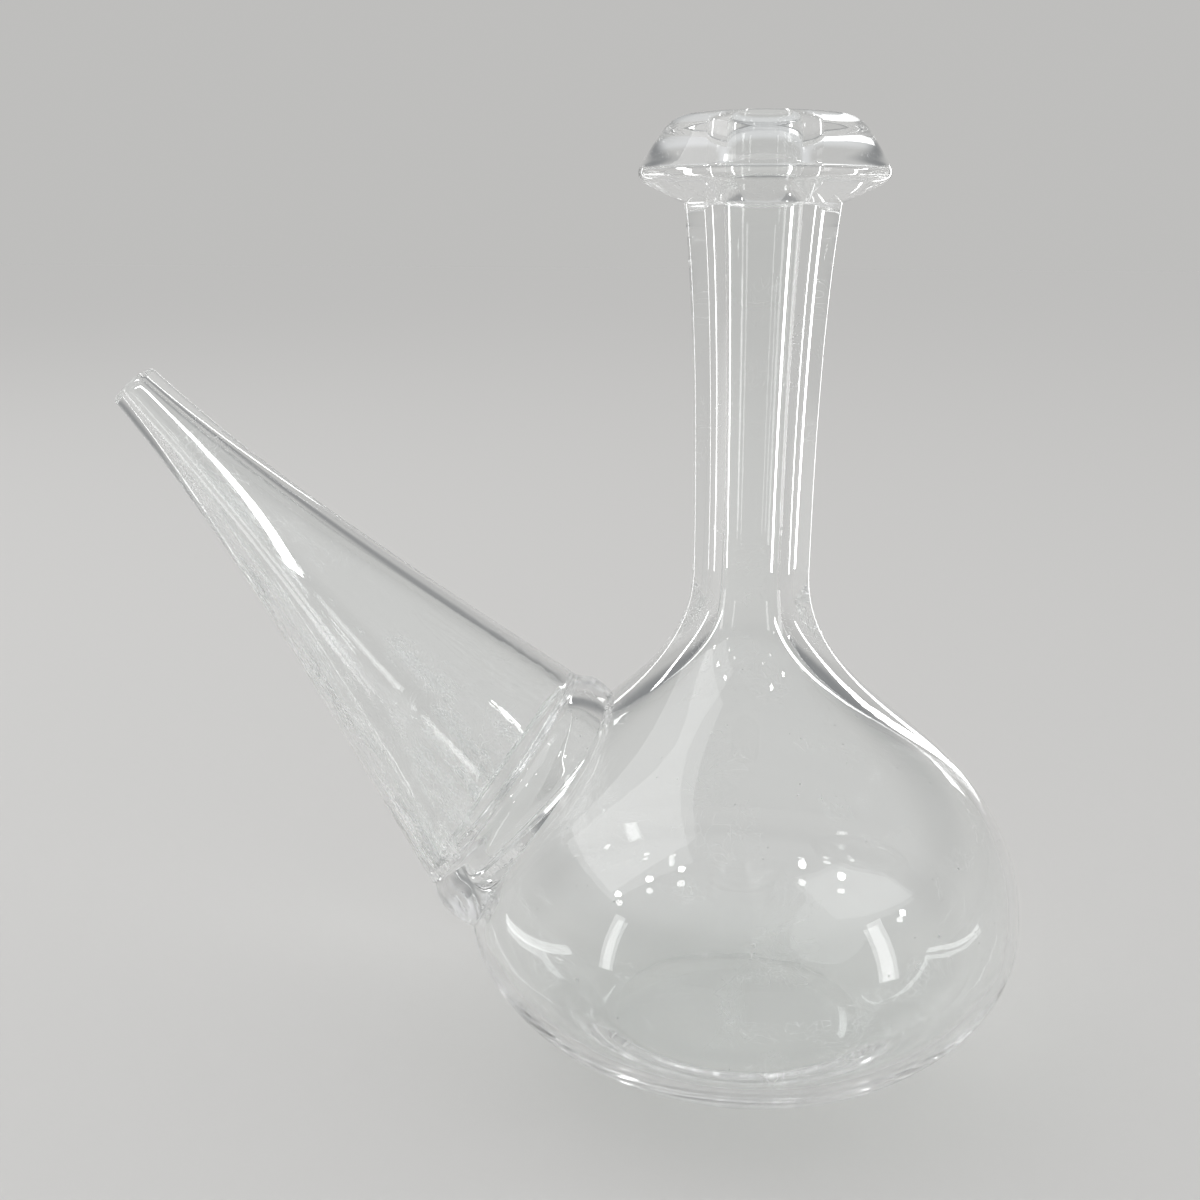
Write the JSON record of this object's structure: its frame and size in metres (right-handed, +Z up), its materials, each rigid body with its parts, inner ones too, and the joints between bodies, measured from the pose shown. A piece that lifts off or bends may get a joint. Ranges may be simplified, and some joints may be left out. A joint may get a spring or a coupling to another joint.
{
  "type": "glass porron",
  "caption": "Clear glass porron: flattened blown belly, slender thick-walled neck with a heavy ring lip, and a straight tapering pouring spout fused on through a thick collar.",
  "frame": {"origin": "centre of the flat base that the porron stands on", "axes": "+Z up along the axis of belly and neck, the spout leans towards -X, +Y completes the right-handed frame"},
  "size_m": [0.2492, 0.1524, 0.2516],
  "materials": {
    "clear_glass": "clear, fire-polished"
  },
  "bodies": {
    "root": {"vessel_body": "clear_glass", "lip_ring": "clear_glass", "spout_collar": "clear_glass", "spout_cone": "clear_glass"}
  },
  "joints": []
}
